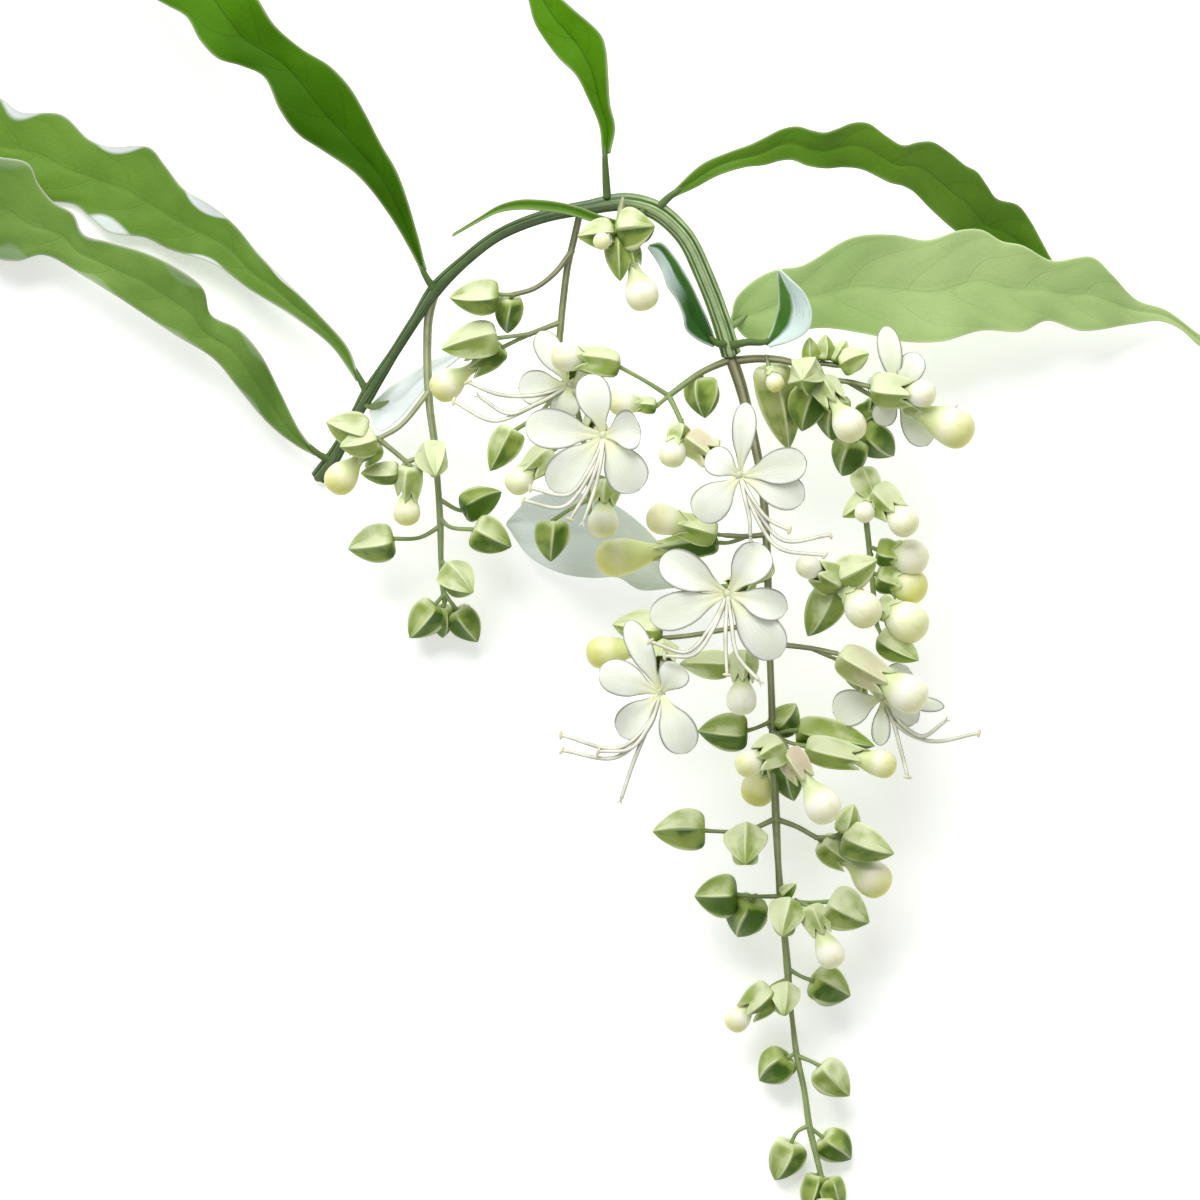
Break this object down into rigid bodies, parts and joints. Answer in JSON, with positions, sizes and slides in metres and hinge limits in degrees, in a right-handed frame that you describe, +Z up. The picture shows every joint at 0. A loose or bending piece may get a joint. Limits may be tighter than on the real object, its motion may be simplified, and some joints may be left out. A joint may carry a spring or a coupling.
{
  "type": "cut flowering climbing plant spray",
  "caption": "Cut spray of pendant jasmine lying flat: arching stem, long waved leaves, hanging racemes of angular calyces with round buds, and open white flowers.",
  "frame": {"origin": "middle of the spray's outline, seen from above, at the level of the surface it lies on", "axes": "+Z up from the surface, +Y from the tip of the long raceme towards the top of the stem's arch, +X towards the leaves on the right"},
  "size_m": [0.2861, 0.2818, 0.051],
  "materials": {
    "stem": "smooth green stem with pale ridges",
    "leaf": "satin green leaf",
    "pale_leaf": "pale satin leaf",
    "calyx": "yellow-green, slightly waxy",
    "petal": "matt white"
  },
  "bodies": {
    "root": {"main_stem": "stem", "leaf_a": "leaf", "leaf_b": "leaf", "leaf_c": "leaf", "leaf_d": "leaf", "leaf_e": "leaf", "leaf_f": "pale_leaf", "leaf_g": "leaf", "leaf_h": "leaf", "leaf_i": "leaf", "leaf_j": "pale_leaf", "leaf_k": "pale_leaf", "raceme_left": "calyx", "raceme_centre": "calyx", "raceme_right": "calyx", "raceme_main": "calyx", "cyme_apex": "calyx", "cyme_left": "calyx", "flower_0": "petal", "flower_1": "petal", "flower_2": "petal", "flower_3": "petal", "flower_4": "petal", "flower_5": "petal", "flower_6": "petal"}
  },
  "joints": []
}
